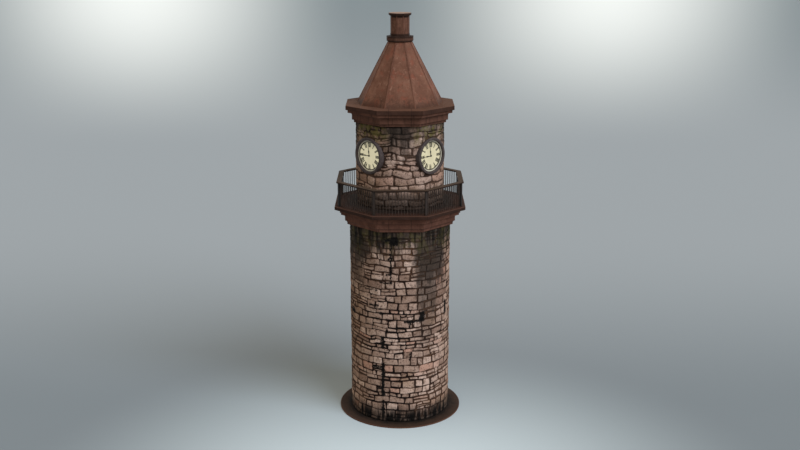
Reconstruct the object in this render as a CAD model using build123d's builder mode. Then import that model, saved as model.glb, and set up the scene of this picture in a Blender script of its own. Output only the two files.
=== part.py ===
from build123d import *
import os
from math import atan, cos, degrees, pi, radians, sin, sqrt, tan

# Clock tower: a round rubble-stone shaft, an octagonal balcony with a railing,
# a round clock room with four dials, octagonal eaves and a nine-sided spire.
# Millimetres, +Z up, front towards -Y, origin under the middle of the base.

os.makedirs("parts", exist_ok=True)

# Base and shaft, the shaft's radius taken to the face of its mortar
base_ledge = 570
base_thickness = 60
shaft_radius = 2280
shaft_wall = 600
shaft_height = 9130

# Balcony mouldings, each step measured out from the face below it
bed_fillet_step = 95
bed_fillet_height = 55
bed_curve_step = 100
bed_curve_height = 120
frieze_height = 165
cavetto_step = 175
cavetto_height = 121
cornice_fillet_height = 100
deck_bead_step = 50
deck_bead_height = 148
deck_overhang = 230
deck_thickness = 151
slab_round = 15

# Railing
rail_setback = 212
rail_height = 1125
handrail_width = 240
handrail_thickness = 60
handrail_round = 12
post_width = 100
bar_width = 24
bars_a_side = 16
carrier_width = 50
carrier_thickness = 12
panel_clearance = 3

# Clock room
clock_room_radius = 1965
clock_room_wall = 400
clock_room_height = 3758
dial_segment_angle = 60

# Clock faces, set into the wall, each depth measured in from the wall's face
dial_centre_height = 2350
dial_radius = 690
dial_thickness = 20
dial_recess = 65
dial_fit = 2
bezel_width = 46
bezel_lift = 26
bush_radius = 48
bush_length = 60
bush_lift = 6
rim_width = 125
rim_projection = 55
rim_depth = 320
rim_ledge = 60
rim_chamfer = 22

# Hands
running_clearance = 0.05
arbor_radius = 12
pipe_wall = 10
hand_thickness = 8
hand_gap = 17
hour_hand_length = 385
hour_hand_width = 76
hour_boss_radius = 44
minute_hand_length = 545
minute_hand_width = 66
minute_boss_radius = 34
minute_cap_height = 10
leaf_start_ratio = 0.28
leaf_widest_ratio = 0.46
leaf_end_ratio = 0.66
hand_stem_ratio = 0.24
hand_tip_ratio = 0.14
pipe_tail = 10
pipe_nose = 5
arbor_tail = 20
resting_hour = 11
resting_minute = 45

# Eaves and roof, each step measured out from the face below it
eaves_fillet_step = 65
eaves_fillet_height = 55
eaves_curve_step = 90
eaves_curve_height = 70
eaves_frieze_height = 185
eaves_cavetto_step = 185
eaves_cavetto_height = 124
eaves_bead_height = 132
eaves_slab_step = 88
eaves_slab_height = 184
eaves_worn_edge = 14
roof_sides = 9
roof_setback = 560
roof_neck_reach = 500
roof_height = 2703
roof_thickness = 120

# Finial
collar_step = 70
collar_height = 240
collar_chamfer = 30
drum_radius = 417
drum_height = 780
drum_wall = 60
drum_foot_step = 19
drum_foot_height = 110
cap_step = 90
cap_thickness = 105
cap_chamfer = 18

# Reaches, each measured from the axis to the flat of a side
base_radius = shaft_radius + base_ledge
bed_fillet_reach = shaft_radius + bed_fillet_step
frieze_reach = bed_fillet_reach + bed_curve_step
cornice_reach = frieze_reach + cavetto_step
deck_bead_reach = cornice_reach + deck_bead_step
deck_reach = deck_bead_reach + deck_overhang
rail_centre_reach = deck_reach - rail_setback
eaves_fillet_reach = clock_room_radius + eaves_fillet_step
eaves_frieze_reach = eaves_fillet_reach + eaves_curve_step
eaves_bead_reach = eaves_frieze_reach + eaves_cavetto_step
eaves_reach = eaves_bead_reach + eaves_slab_step
roof_foot_reach = eaves_reach - roof_setback
roof_lean = degrees(atan((roof_foot_reach - roof_neck_reach) / roof_height))
roof_hollow_reach = roof_foot_reach - roof_thickness / cos(radians(roof_lean))
roof_foot_radius = roof_foot_reach / cos(pi / roof_sides)
roof_hollow_radius = roof_hollow_reach / cos(pi / roof_sides)
collar_radius = roof_neck_reach / cos(pi / roof_sides) + collar_step
drum_foot_radius = drum_radius + drum_foot_step
cap_radius = drum_radius + cap_step

# Heights of the courses above the ground
shaft_top = base_thickness + shaft_height
frieze_bottom = shaft_top + bed_fillet_height + bed_curve_height
deck_bottom = frieze_bottom + frieze_height + cavetto_height + cornice_fillet_height + deck_bead_height
deck_top = deck_bottom + deck_thickness
handrail_bottom = deck_top + rail_height - handrail_thickness
dial_height = deck_top + dial_centre_height
clock_room_top = deck_top + clock_room_height
eaves_frieze_top = clock_room_top + eaves_fillet_height + eaves_curve_height + eaves_frieze_height
eaves_top = eaves_frieze_top + eaves_cavetto_height + eaves_bead_height + eaves_slab_height
roof_top = eaves_top + roof_height
collar_top = roof_top + collar_height
drum_foot_top = collar_top + drum_foot_height
drum_top = drum_foot_top + drum_height

# Directions: eight sides of the octagon, seen from above
side_angle = 45
front_angle = -90
side_names = ["front", "front_right", "right", "back_right", "back", "back_left", "left", "front_left"]
side_directions = {name: front_angle + side_angle * step for step, name in enumerate(side_names)}
dial_directions = {name: angle for name, angle in side_directions.items() if "_" in name}
octagon_turn = side_angle / 2
spire_turn = front_angle + 180 / roof_sides

# Fits worked out from the sizes above
pipe_bore = arbor_radius + running_clearance
pipe_radius = pipe_bore + pipe_wall
bush_bore = pipe_radius + running_clearance
rim_radius = dial_radius + rim_width
rim_cut_length = clock_room_radius + clock_room_wall
dial_face_distance = clock_room_radius - dial_recess
rim_front_distance = clock_room_radius + rim_projection
rim_back_distance = rim_front_distance - rim_depth
dial_back_distance = dial_face_distance - dial_thickness
dial_edge = dial_radius - dial_fit
bush_front_distance = dial_face_distance + bush_lift
bush_back_distance = bush_front_distance - bush_length
bezel_front_distance = dial_face_distance + bezel_lift
hour_hand_distance = bush_front_distance + hand_gap
minute_hand_distance = hour_hand_distance + hand_thickness + hand_gap
pipe_back_distance = bush_back_distance - pipe_tail
arbor_back_distance = pipe_back_distance - arbor_tail
minute_turn = -resting_minute * 360 / 60
hour_turn = -(resting_hour + resting_minute / 60) * 360 / 12
rail_side_length = 2 * rail_centre_reach * tan(radians(octagon_turn))
rail_corner_radius = rail_centre_reach / cos(radians(octagon_turn))
post_reach_along_side = post_width / 2 * (cos(radians(octagon_turn)) + sin(radians(octagon_turn)))
panel_length = rail_side_length - 2 * (post_reach_along_side + panel_clearance)
bar_spacing = rail_side_length / (bars_a_side + 1)
bar_height = handrail_bottom - carrier_thickness - deck_top


def upright_plane(angle, reach, height, turn=0):
    """A plane that faces outwards: x to the right as seen from outside, y up, then turned."""
    outward = Vector(cos(radians(angle)), sin(radians(angle)), 0)
    rightward = Vector(-sin(radians(angle)), cos(radians(angle)), 0)
    x_direction = rightward * cos(radians(turn)) + Vector(0, 0, 1) * sin(radians(turn))
    return Plane(origin=outward * reach + Vector(0, 0, height), x_dir=x_direction, z_dir=outward)


def section_plane(angle, height):
    """A plane through the tower's axis: x outwards, y up."""
    outward = Vector(cos(radians(angle)), sin(radians(angle)), 0)
    return Plane(origin=(0, 0, height), x_dir=outward, z_dir=outward.cross(Vector(0, 0, 1)))


def dial_axis(angle):
    """The line that the hands turn on."""
    return Axis((0, 0, dial_height), (cos(radians(angle)), sin(radians(angle)), 0))


def octagon(reach):
    """A regular octagon with one flat to the front."""
    return RegularPolygon(reach, 8, major_radius=False, rotation=octagon_turn)


def spire_plan(corner_radius):
    """A regular polygon with the spire's number of sides and one flat to the front."""
    return RegularPolygon(corner_radius, roof_sides, rotation=spire_turn)


def wall_plan(outer_radius, thickness, direction, spread):
    """The plan of a piece of round wall."""
    inner_radius = outer_radius - thickness
    with BuildSketch(Plane.XY) as plan:
        with BuildLine():
            outer = CenterArc((0, 0), outer_radius, direction - spread / 2, spread)
            inner = CenterArc((0, 0), inner_radius, direction - spread / 2, spread)
            Line(outer @ 0, inner @ 0)
            Line(outer @ 1, inner @ 1)
        make_face()
    return plan.sketch


def octagon_path(reach, height):
    """The line of a moulding round the octagon, starting in the middle of the right side."""
    half_side = reach * tan(radians(octagon_turn))
    corner_radius = reach / cos(radians(octagon_turn))
    corner_angles = [octagon_turn + side_angle * step for step in range(8)]
    corners = [Vector(corner_radius, 0, 0).rotate(Axis.Z, turn) for turn in corner_angles]
    start = corners[0] - Vector(0, half_side, 0)
    lift = Vector(0, 0, height)
    return [point + lift for point in [start, *corners, start]]


def hand_outline(length, width, boss_radius):
    """A spade hand that points to local +Y: a stem, a leaf and a slender tip."""
    stem_half = width * hand_stem_ratio
    tip_half = width * hand_tip_ratio
    stem_foot = sqrt(boss_radius**2 - stem_half**2)
    with BuildSketch(Plane.XY) as outline:
        with BuildLine():
            Polyline(
                (0, stem_foot),
                (stem_half, stem_foot),
                (stem_half, length * leaf_start_ratio),
                (width / 2, length * leaf_widest_ratio),
                (tip_half, length * leaf_end_ratio),
                (tip_half, length - tip_half),
                (0, length),
            )
            mirror(about=Plane.YZ)
        make_face()
        Circle(boss_radius)
    return outline.sketch


# Base disc
with BuildPart() as base_disc:
    with BuildSketch(Plane.XY):
        Circle(base_radius)
    extrude(amount=base_thickness)
base_disc.part.label = "base_disc"
export_step(base_disc.part, "parts/base_disc.step")

# Shaft, in eighths
for name, direction in side_directions.items():
    with BuildPart() as shaft_wall_piece:
        with BuildSketch(Plane.XY.offset(base_thickness)):
            add(wall_plan(shaft_radius, shaft_wall, direction, side_angle))
        extrude(amount=shaft_height)
    shaft_wall_piece.part.label = f"shaft_wall_{name}"
    export_step(shaft_wall_piece.part, f"parts/shaft_wall_{name}.step")

# Bed mould at the head of the shaft: a fillet with a hollow curve above it
with BuildPart() as balcony_bed_mould:
    bed_mould_height = bed_fillet_height + bed_curve_height
    with BuildSketch(Plane.XY.offset(shaft_top)):
        octagon(bed_fillet_reach)
    extrude(amount=bed_mould_height)
    with BuildLine() as bed_path:
        Polyline(*octagon_path(bed_fillet_reach, shaft_top + bed_fillet_height))
    with BuildSketch(section_plane(0, shaft_top + bed_fillet_height)):
        with BuildLine():
            Line((bed_fillet_reach, 0), (bed_fillet_reach, bed_curve_height))
            Line((bed_fillet_reach, bed_curve_height), (frieze_reach, bed_curve_height))
            TangentArc((bed_fillet_reach, 0), (frieze_reach, bed_curve_height), tangent=(0, 1))
        make_face()
    sweep(path=bed_path.wire(), transition=Transition.RIGHT)
    with BuildSketch(Plane.XY.offset(shaft_top)):
        Circle(shaft_radius - shaft_wall)
    extrude(amount=bed_mould_height, mode=Mode.SUBTRACT)
balcony_bed_mould.part.label = "balcony_bed_mould"
export_step(balcony_bed_mould.part, "parts/balcony_bed_mould.step")

# Balcony cornice: a plain frieze, a cavetto, a fillet and a bead under the slab
with BuildPart() as balcony_cornice:
    cornice_height = deck_bottom - frieze_bottom
    cavetto_top = frieze_height + cavetto_height
    fillet_top = cavetto_top + cornice_fillet_height
    with BuildSketch(Plane.XY.offset(frieze_bottom)):
        octagon(frieze_reach)
    extrude(amount=cornice_height)
    with BuildLine() as cornice_path:
        Polyline(*octagon_path(frieze_reach, frieze_bottom))
    with BuildSketch(section_plane(0, frieze_bottom)):
        with BuildLine():
            TangentArc((frieze_reach, frieze_height), (cornice_reach, cavetto_top), tangent=(0, 1))
            Polyline((cornice_reach, cavetto_top), (cornice_reach, fillet_top), (deck_bead_reach, fillet_top))
            Polyline((deck_bead_reach, fillet_top), (deck_bead_reach, cornice_height))
            Polyline((deck_bead_reach, cornice_height), (frieze_reach, cornice_height))
            Line((frieze_reach, cornice_height), (frieze_reach, frieze_height))
        make_face()
    sweep(path=cornice_path.wire(), transition=Transition.RIGHT)
    with BuildSketch(Plane.XY.offset(frieze_bottom)):
        Circle(shaft_radius - shaft_wall)
    extrude(amount=cornice_height, mode=Mode.SUBTRACT)
balcony_cornice.part.label = "balcony_cornice"
export_step(balcony_cornice.part, "parts/balcony_cornice.step")

# Walkway slab, which is the floor of the clock room too
with BuildPart() as balcony_deck:
    with BuildSketch(Plane.XY.offset(deck_bottom)):
        octagon(deck_reach)
    extrude(amount=deck_thickness)
    fillet(balcony_deck.edges().filter_by(Axis.Z, reverse=True), radius=slab_round)
balcony_deck.part.label = "balcony_deck"
export_step(balcony_deck.part, "parts/balcony_deck.step")

# Railing panels: square bars that stand on the slab and hang from a flat bar
for name, direction in side_directions.items():
    foot_plane = upright_plane(direction, rail_centre_reach, deck_top)
    with BuildPart() as railing_panel:
        with BuildSketch(foot_plane):
            with Locations((0, bar_height / 2)):
                with GridLocations(bar_spacing, 0, bars_a_side, 1):
                    Rectangle(bar_width, bar_height)
        extrude(amount=bar_width / 2, both=True)
        with BuildSketch(foot_plane):
            with Locations((0, bar_height + carrier_thickness / 2)):
                Rectangle(panel_length, carrier_thickness)
        extrude(amount=carrier_width / 2, both=True)
    railing_panel.part.label = f"railing_{name}"
    export_step(railing_panel.part, f"parts/railing_{name}.step")

# Corner posts
with BuildPart() as rail_posts:
    with BuildSketch(Plane.XY.offset(deck_top)):
        with PolarLocations(rail_corner_radius, 8, start_angle=octagon_turn):
            Rectangle(post_width, post_width)
    extrude(amount=handrail_bottom - deck_top)
rail_posts.part.label = "rail_posts"
export_step(rail_posts.part, "parts/rail_posts.step")

# Handrail: a broad flat rail with mitred corners
with BuildPart() as handrail:
    with BuildSketch(Plane.XY.offset(handrail_bottom)):
        octagon(rail_centre_reach + handrail_width / 2)
        RegularPolygon(
            rail_centre_reach - handrail_width / 2,
            8,
            major_radius=False,
            rotation=octagon_turn,
            mode=Mode.SUBTRACT,
        )
    extrude(amount=handrail_thickness)
    fillet(handrail.edges().filter_by(Axis.Z, reverse=True), radius=handrail_round)
handrail.part.label = "handrail"
export_step(handrail.part, "parts/handrail.step")

# Clock room wall: a wide piece round each dial and a plain pier between
for name, direction in side_directions.items():
    holds_dial = name in dial_directions
    spread = dial_segment_angle if holds_dial else 2 * side_angle - dial_segment_angle
    with BuildPart() as clock_wall_piece:
        with BuildSketch(Plane.XY.offset(deck_top)):
            add(wall_plan(clock_room_radius, clock_room_wall, direction, spread))
        extrude(amount=clock_room_height)
        if holds_dial:
            with BuildSketch(upright_plane(direction, 0, dial_height)):
                Circle(rim_radius)
            extrude(amount=rim_cut_length, mode=Mode.SUBTRACT)
    clock_wall_piece.part.label = f"clock_wall_{name}"
    export_step(clock_wall_piece.part, f"parts/clock_wall_{name}.step")

# Rims: round cases set through the wall, each with a ledge behind its dial
with BuildPart() as clock_rims:
    for direction in dial_directions.values():
        with BuildSketch(section_plane(direction, dial_height)) as rim_section:
            with BuildLine():
                Polyline(
                    (rim_back_distance, dial_radius - rim_ledge),
                    (dial_back_distance, dial_radius - rim_ledge),
                    (dial_back_distance, dial_radius),
                    (rim_front_distance, dial_radius),
                    (rim_front_distance, rim_radius),
                    (rim_back_distance, rim_radius),
                    close=True,
                )
            make_face()
            chamfer(rim_section.vertices().group_by(Axis.X)[-1], length=rim_chamfer)
        revolve(axis=dial_axis(direction))
clock_rims.part.label = "clock_rims"
export_step(clock_rims.part, "parts/clock_rims.step")

# Dials: a plate with a raised bezel and a bored bush
with BuildPart() as dials:
    for direction in dial_directions.values():
        with BuildSketch(section_plane(direction, dial_height)):
            with BuildLine():
                Polyline(
                    (bush_back_distance, bush_bore),
                    (bush_front_distance, bush_bore),
                    (bush_front_distance, bush_radius),
                    (dial_face_distance, bush_radius),
                    (dial_face_distance, dial_edge - bezel_width),
                    (bezel_front_distance, dial_edge - bezel_width),
                    (bezel_front_distance, dial_edge),
                    (dial_back_distance, dial_edge),
                    (dial_back_distance, bush_radius),
                    (bush_back_distance, bush_radius),
                    close=True,
                )
            make_face()
        revolve(axis=dial_axis(direction))
dials.part.label = "dials"
export_step(dials.part, "parts/dials.step")

# Hour hands: each on a pipe that turns in the bush
for name, direction in dial_directions.items():
    hour_plane = upright_plane(direction, hour_hand_distance, dial_height, hour_turn)
    with BuildPart() as hour_hand:
        with BuildSketch(hour_plane):
            add(hand_outline(hour_hand_length, hour_hand_width, hour_boss_radius))
        extrude(amount=hand_thickness)
        with BuildSketch(hour_plane):
            Circle(pipe_radius)
        extrude(amount=hand_thickness + pipe_nose)
        with BuildSketch(hour_plane):
            Circle(pipe_radius)
        extrude(amount=pipe_back_distance - hour_hand_distance)
        with BuildSketch(hour_plane.offset(pipe_back_distance - hour_hand_distance)):
            Circle(pipe_bore)
        extrude(amount=minute_hand_distance - pipe_back_distance, mode=Mode.SUBTRACT)
    hour_hand.part.label = f"hour_hand_{name}"
    export_step(hour_hand.part, f"parts/hour_hand_{name}.step")

# Minute hands: each on an arbor that turns in the hour hand's pipe
for name, direction in dial_directions.items():
    minute_plane = upright_plane(direction, minute_hand_distance, dial_height, minute_turn)
    with BuildPart() as minute_hand:
        with BuildSketch(minute_plane):
            add(hand_outline(minute_hand_length, minute_hand_width, minute_boss_radius))
        extrude(amount=hand_thickness)
        with BuildSketch(minute_plane):
            Circle(pipe_radius)
        extrude(amount=hand_thickness + minute_cap_height)
        with BuildSketch(minute_plane):
            Circle(arbor_radius)
        extrude(amount=arbor_back_distance - minute_hand_distance)
    minute_hand.part.label = f"minute_hand_{name}"
    export_step(minute_hand.part, f"parts/minute_hand_{name}.step")

# Eaves bed mould: a fillet, a small hollow curve and a frieze
with BuildPart() as eaves_bed_mould:
    bed_top = eaves_frieze_top - clock_room_top
    curve_top = eaves_fillet_height + eaves_curve_height
    with BuildSketch(Plane.XY.offset(clock_room_top)):
        octagon(eaves_fillet_reach)
    extrude(amount=bed_top)
    with BuildLine() as eaves_bed_path:
        Polyline(*octagon_path(eaves_fillet_reach, clock_room_top))
    with BuildSketch(section_plane(0, clock_room_top)):
        with BuildLine():
            TangentArc(
                (eaves_fillet_reach, eaves_fillet_height), (eaves_frieze_reach, curve_top), tangent=(0, 1)
            )
            Polyline((eaves_frieze_reach, curve_top), (eaves_frieze_reach, bed_top))
            Polyline((eaves_frieze_reach, bed_top), (eaves_fillet_reach, bed_top))
            Line((eaves_fillet_reach, bed_top), (eaves_fillet_reach, eaves_fillet_height))
        make_face()
    sweep(path=eaves_bed_path.wire(), transition=Transition.RIGHT)
    with BuildSketch(Plane.XY.offset(clock_room_top)):
        Circle(clock_room_radius - clock_room_wall)
    extrude(amount=bed_top, mode=Mode.SUBTRACT)
eaves_bed_mould.part.label = "eaves_bed_mould"
export_step(eaves_bed_mould.part, "parts/eaves_bed_mould.step")

# Eaves cornice: a cavetto, a fillet and the slab that the roof stands on
with BuildPart() as eaves_cornice:
    eaves_cornice_height = eaves_top - eaves_frieze_top
    slab_foot = eaves_cavetto_height + eaves_bead_height
    with BuildSketch(Plane.XY.offset(eaves_frieze_top)):
        octagon(eaves_frieze_reach)
    extrude(amount=eaves_cornice_height)
    with BuildLine() as eaves_path:
        Polyline(*octagon_path(eaves_frieze_reach, eaves_frieze_top))
    with BuildSketch(section_plane(0, eaves_frieze_top)):
        with BuildLine():
            TangentArc((eaves_frieze_reach, 0), (eaves_bead_reach, eaves_cavetto_height), tangent=(0, 1))
            Polyline(
                (eaves_bead_reach, eaves_cavetto_height),
                (eaves_bead_reach, slab_foot),
                (eaves_reach, slab_foot),
                (eaves_reach, eaves_cornice_height),
                (eaves_frieze_reach, eaves_cornice_height),
                (eaves_frieze_reach, 0),
            )
        make_face()
    sweep(path=eaves_path.wire(), transition=Transition.RIGHT)
    fillet(eaves_cornice.edges().group_by(Axis.Z)[-1], radius=eaves_worn_edge)
    with BuildSketch(Plane.XY.offset(eaves_frieze_top)):
        Circle(clock_room_radius - clock_room_wall)
    extrude(amount=eaves_cornice_height, mode=Mode.SUBTRACT)
eaves_cornice.part.label = "eaves_cornice"
export_step(eaves_cornice.part, "parts/eaves_cornice.step")

# Roof: a hollow nine-sided spire, cut off under the finial
with BuildPart() as roof:
    with BuildSketch(Plane.XY.offset(eaves_top)):
        spire_plan(roof_foot_radius)
    extrude(amount=roof_height, taper=roof_lean)
    with BuildSketch(Plane.XY.offset(eaves_top)):
        spire_plan(roof_hollow_radius)
    extrude(amount=roof_height, taper=roof_lean, mode=Mode.SUBTRACT)
roof.part.label = "roof"
export_step(roof.part, "parts/roof.step")

# Finial collar: a flat block over the spire's open end
with BuildPart() as finial_collar:
    with BuildSketch(Plane.XY.offset(roof_top)):
        spire_plan(collar_radius)
    extrude(amount=collar_height)
    chamfer(finial_collar.edges().group_by(Axis.Z)[0], length=collar_chamfer)
finial_collar.part.label = "finial_collar"
export_step(finial_collar.part, "parts/finial_collar.step")

# Finial drum: a tube with the spire's sides on a foot band
with BuildPart() as finial_drum:
    with BuildSketch(Plane.XY.offset(collar_top)):
        spire_plan(drum_foot_radius)
    extrude(amount=drum_foot_height)
    with BuildSketch(Plane.XY.offset(drum_foot_top)):
        spire_plan(drum_radius)
    extrude(amount=drum_height)
    with BuildSketch(Plane.XY.offset(collar_top)):
        spire_plan(drum_radius - drum_wall)
    extrude(amount=drum_foot_height + drum_height, mode=Mode.SUBTRACT)
finial_drum.part.label = "finial_drum"
export_step(finial_drum.part, "parts/finial_drum.step")

# Finial cap: a flat plate with a worn lower edge
with BuildPart() as finial_cap:
    with BuildSketch(Plane.XY.offset(drum_top)):
        spire_plan(cap_radius)
    extrude(amount=cap_thickness)
    chamfer(finial_cap.edges().group_by(Axis.Z)[0], length=cap_chamfer)
finial_cap.part.label = "finial_cap"
export_step(finial_cap.part, "parts/finial_cap.step")
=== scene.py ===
# %% [markdown]
# # A stone clock tower
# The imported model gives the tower's shape and size. This script gives it its surface: the stones
# of the walls, the rolls on the roof's hips, the numerals, and a finish for every part.
# Lengths are in metres, and the front of the tower looks towards -Y.

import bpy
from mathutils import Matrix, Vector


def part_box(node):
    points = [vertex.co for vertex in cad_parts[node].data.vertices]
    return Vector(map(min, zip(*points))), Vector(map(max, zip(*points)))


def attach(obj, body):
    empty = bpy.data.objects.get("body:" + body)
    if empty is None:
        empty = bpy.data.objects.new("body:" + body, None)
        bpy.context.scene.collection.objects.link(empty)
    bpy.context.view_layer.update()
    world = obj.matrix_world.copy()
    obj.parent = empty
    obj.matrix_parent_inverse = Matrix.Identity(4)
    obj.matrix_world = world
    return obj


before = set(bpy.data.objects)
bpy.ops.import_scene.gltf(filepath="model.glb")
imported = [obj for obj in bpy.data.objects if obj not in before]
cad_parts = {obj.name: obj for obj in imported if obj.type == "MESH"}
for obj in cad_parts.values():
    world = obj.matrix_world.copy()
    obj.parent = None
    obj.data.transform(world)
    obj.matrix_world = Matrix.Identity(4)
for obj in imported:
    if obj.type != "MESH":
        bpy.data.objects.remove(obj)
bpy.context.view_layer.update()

# %% Modules and a fixed seed
import math
import random
from collections import namedtuple
from types import SimpleNamespace

import bmesh
import bpy
from mathutils import Matrix, Vector, noise

chance = random.Random(1886)

# %% [markdown]
# ## Sizes
# A piece that follows a wall must know where that wall is. Sizes typed again would drift from the
# model, so they are read from the boxes of its own nodes.

# %% Read the sizes from the model
shaft_low, shaft_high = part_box("shaft_wall_front")
room_low, room_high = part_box("clock_wall_front")
drum_low, drum_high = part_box("finial_drum")
dial_low, dial_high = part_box("dials")
rims_low, rims_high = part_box("clock_rims")
shaft_radius = -shaft_low.y
room_radius = -room_low.y
dial_height = (dial_low.z + dial_high.z) / 2
rim_radius = (rims_high.z - rims_low.z) / 2
dial_angles = {"front_right": -45, "back_right": 45, "back_left": 135, "front_left": 225}
side_angles = {"front": -90, "right": 0, "back": 90, "left": 180, **dial_angles}
print("radii:", [round(radius, 3) for radius in (shaft_radius, room_radius, rim_radius)])

# %% [markdown]
# ## Camera
# The photograph looks down on the tower from a little above its top and from far away, so its
# upright lines hardly lean. The four numbers come from fitting known points of the tower, so that
# the two pictures can be compared pixel by pixel.

# %% Put an object into the scene
scene = bpy.context.scene


def show(name, data):
    made = bpy.data.objects.new(name, data)
    scene.collection.objects.link(made)
    return made


# %% Place the camera
camera_distance = 47.699
camera_height = 21.963
camera_tilt_down = 15.35
camera_data = bpy.data.cameras.new("camera")
camera_data.sensor_width = 36
camera_data.lens = 48.28
camera_data.clip_end = 2000
camera = show("camera", camera_data)
camera.location = (0, -camera_distance, camera_height)
camera.rotation_euler = (math.radians(90 - camera_tilt_down), 0, 0)
scene.camera = camera
scene.view_settings.view_transform = "Standard"
print("camera lens", camera_data.lens)

# %% [markdown]
# ## Helpers for materials
# A procedural material is a small network of nodes. Writing each link by hand takes many lines, so
# a helper adds one node and sets or links its sockets. What the node puts out is kept as a value
# that can be added, multiplied and so on, and a rule for a stain reads like a formula.

# %% A value that nodes work out
class Value:
    """What a node puts out. Each step of arithmetic with it adds a node."""

    def __init__(self, socket):
        self.socket = socket
        self.tree = socket.id_data

    def __add__(self, other):
        return calculate("ADD", self, other)

    def __sub__(self, other):
        return calculate("SUBTRACT", self, other)

    def __mul__(self, other):
        return calculate("MULTIPLY", self, other)

    def __truediv__(self, other):
        return calculate("DIVIDE", self, other)

    def __abs__(self):
        return calculate("ABSOLUTE", self)


# %% Add one node, or add one for what it puts out
def add_node(tree, kind, sockets=None, **settings):
    """Kind is the type's name after ShaderNode. Sockets are linked to values or else set."""
    made = tree.nodes.new(kind if kind == "NodeGroupOutput" else f"ShaderNode{kind}")
    for key, content in settings.items():
        setattr(made, key, content)
    for key, content in (sockets or {}).items():
        if isinstance(content, Value):
            tree.links.new(content.socket, made.inputs[key])
        else:
            made.inputs[key].default_value = content
    return made


def work_out(tree, kind, sockets=None, output=0, **settings):
    return Value(add_node(tree, kind, sockets, **settings).outputs[output])


# %% Sums, ranges and marks
def calculate(operation, *terms):
    tree = next(term.tree for term in terms if isinstance(term, Value))
    return work_out(tree, "Math", dict(enumerate(terms)), operation=operation)


def scaled(value, factor, plus):
    return calculate("MULTIPLY_ADD", value, factor, plus)


def folded(value, half):
    """A value that runs up from 0 to half and down again, over and over."""
    return calculate("PINGPONG", value, half)


def rise(value, low, high):
    """0 below low, 1 above high and a smooth slope between. High may be the smaller one."""
    sockets = {"Value": value, "From Min": low, "From Max": high}
    return work_out(value.tree, "MapRange", sockets, interpolation_type="SMOOTHSTEP")


def band(value, low, high, soft):
    """1 between low and high, with soft ends."""
    return rise(value, low - soft, low + soft) * rise(value, high + soft, high - soft)


def strongest(first, *others):
    """At each place the strongest of several marks."""
    for other in others:
        first = calculate("MAXIMUM", first, other)
    return first


def shifted(value, by, reach):
    """The value moved up or down by a noise, by at most about half the reach."""
    return value + scaled(by, reach, -reach / 2)


# %% Places, as three numbers and as an angle
Point = namedtuple("Point", "x y z")


def split(vector):
    """The three numbers of a point or a direction."""
    made = add_node(vector.tree, "SeparateXYZ", {0: vector})
    return Point(*(Value(output) for output in made.outputs))


def find_place(tree):
    """The point that is being shaded, in metres, in the tower's own frame."""
    return work_out(tree, "TexCoord", output="Object")


def angle_round(place):
    """The angle round the tower in degrees, with 0 at the front."""
    point = split(place)
    return calculate("ARCTAN2", point.x, point.y * -1) * (180 / math.pi)


# %% Noise, even or drawn out into streaks
def speckle(vector, scale, detail, roughness, distortion=0):
    sockets = dict(Vector=vector, Scale=scale, Detail=detail)
    sockets.update(Roughness=roughness, Distortion=distortion)
    return work_out(vector.tree, "TexNoise", sockets, "Fac")


def streaked(vector, stretch, *noise_settings):
    """The smaller a number of the stretch, the longer the streaks run that way."""
    sockets = {"Vector": vector, "Scale": stretch}
    return speckle(work_out(vector.tree, "Mapping", sockets), *noise_settings)


# %% Colours, and coats of them
def tint(red, green, blue):
    """A colour as it is seen on a screen, 0 to 255, turned into the light that it stands for."""
    return tuple(((part / 255 + 0.055) / 1.055) ** 2.4 for part in (red, green, blue)) + (1,)


def blend(under, share, over, mode="MIX"):
    """The colour over is laid on the colour under, as strongly as the share says."""
    sockets = {0: share, 6: under, 7: over}
    return work_out(share.tree, "Mix", sockets, 2, data_type="RGBA", blend_type=mode)


def coated(colour, *coats):
    """A colour under coats of others. Each coat is a share and the colour that it brings."""
    for share, over in coats:
        colour = blend(colour, share, over)
    return colour


# %% Start and end a material
def start_material(name):
    """A new material, and the place that is being shaded."""
    material = bpy.data.materials.new(name)
    material.use_nodes = True
    material.node_tree.nodes.clear()
    return material, find_place(material.node_tree)


def end_material(material, colour, rough, height=None, depth=0.01, painted_glow=None, shine=0.12):
    """Joins colour, roughness, an optional bump and an optional painted glow to the surface."""
    tree = material.node_tree
    sockets = {"Base Color": colour, "Roughness": rough, "Specular IOR Level": shine}
    if painted_glow is not None:
        sockets.update({"Emission Color": painted_glow, "Emission Strength": 1})
    if height is not None:
        bump = {"Height": height, "Distance": depth, "Strength": 1}
        sockets["Normal"] = work_out(tree, "Bump", bump)
    surface = work_out(tree, "BsdfPrincipled", sockets)
    add_node(tree, "OutputMaterial", {"Surface": surface})
    return material


# %% Give a finish to nodes of the model
def finish_nodes(material, *starts):
    """Every node whose name starts with one of these words shows the material."""
    count = 0
    for name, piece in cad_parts.items():
        if name.startswith(starts):
            piece.data.materials.clear()
            piece.data.materials.append(material)
            count += 1
    print(material.name, "on", count, "nodes")


# %% Hand a finished mesh to the tower
def add_piece(name, shape, material, body, smooth=False, face_outwards=True):
    """Turns the bmesh into an object at the origin that rides on a body."""
    if face_outwards:
        bmesh.ops.recalc_face_normals(shape, faces=shape.faces[:])
    data = bpy.data.meshes.new(name)
    shape.to_mesh(data)
    shape.free()
    data.materials.append(material)
    for face in data.polygons:
        face.use_smooth = smooth
    piece = show(name, data)
    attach(piece, body)
    triangles = sum(len(face.vertices) - 2 for face in data.polygons)
    print(name, triangles, "triangles")
    return piece
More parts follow.
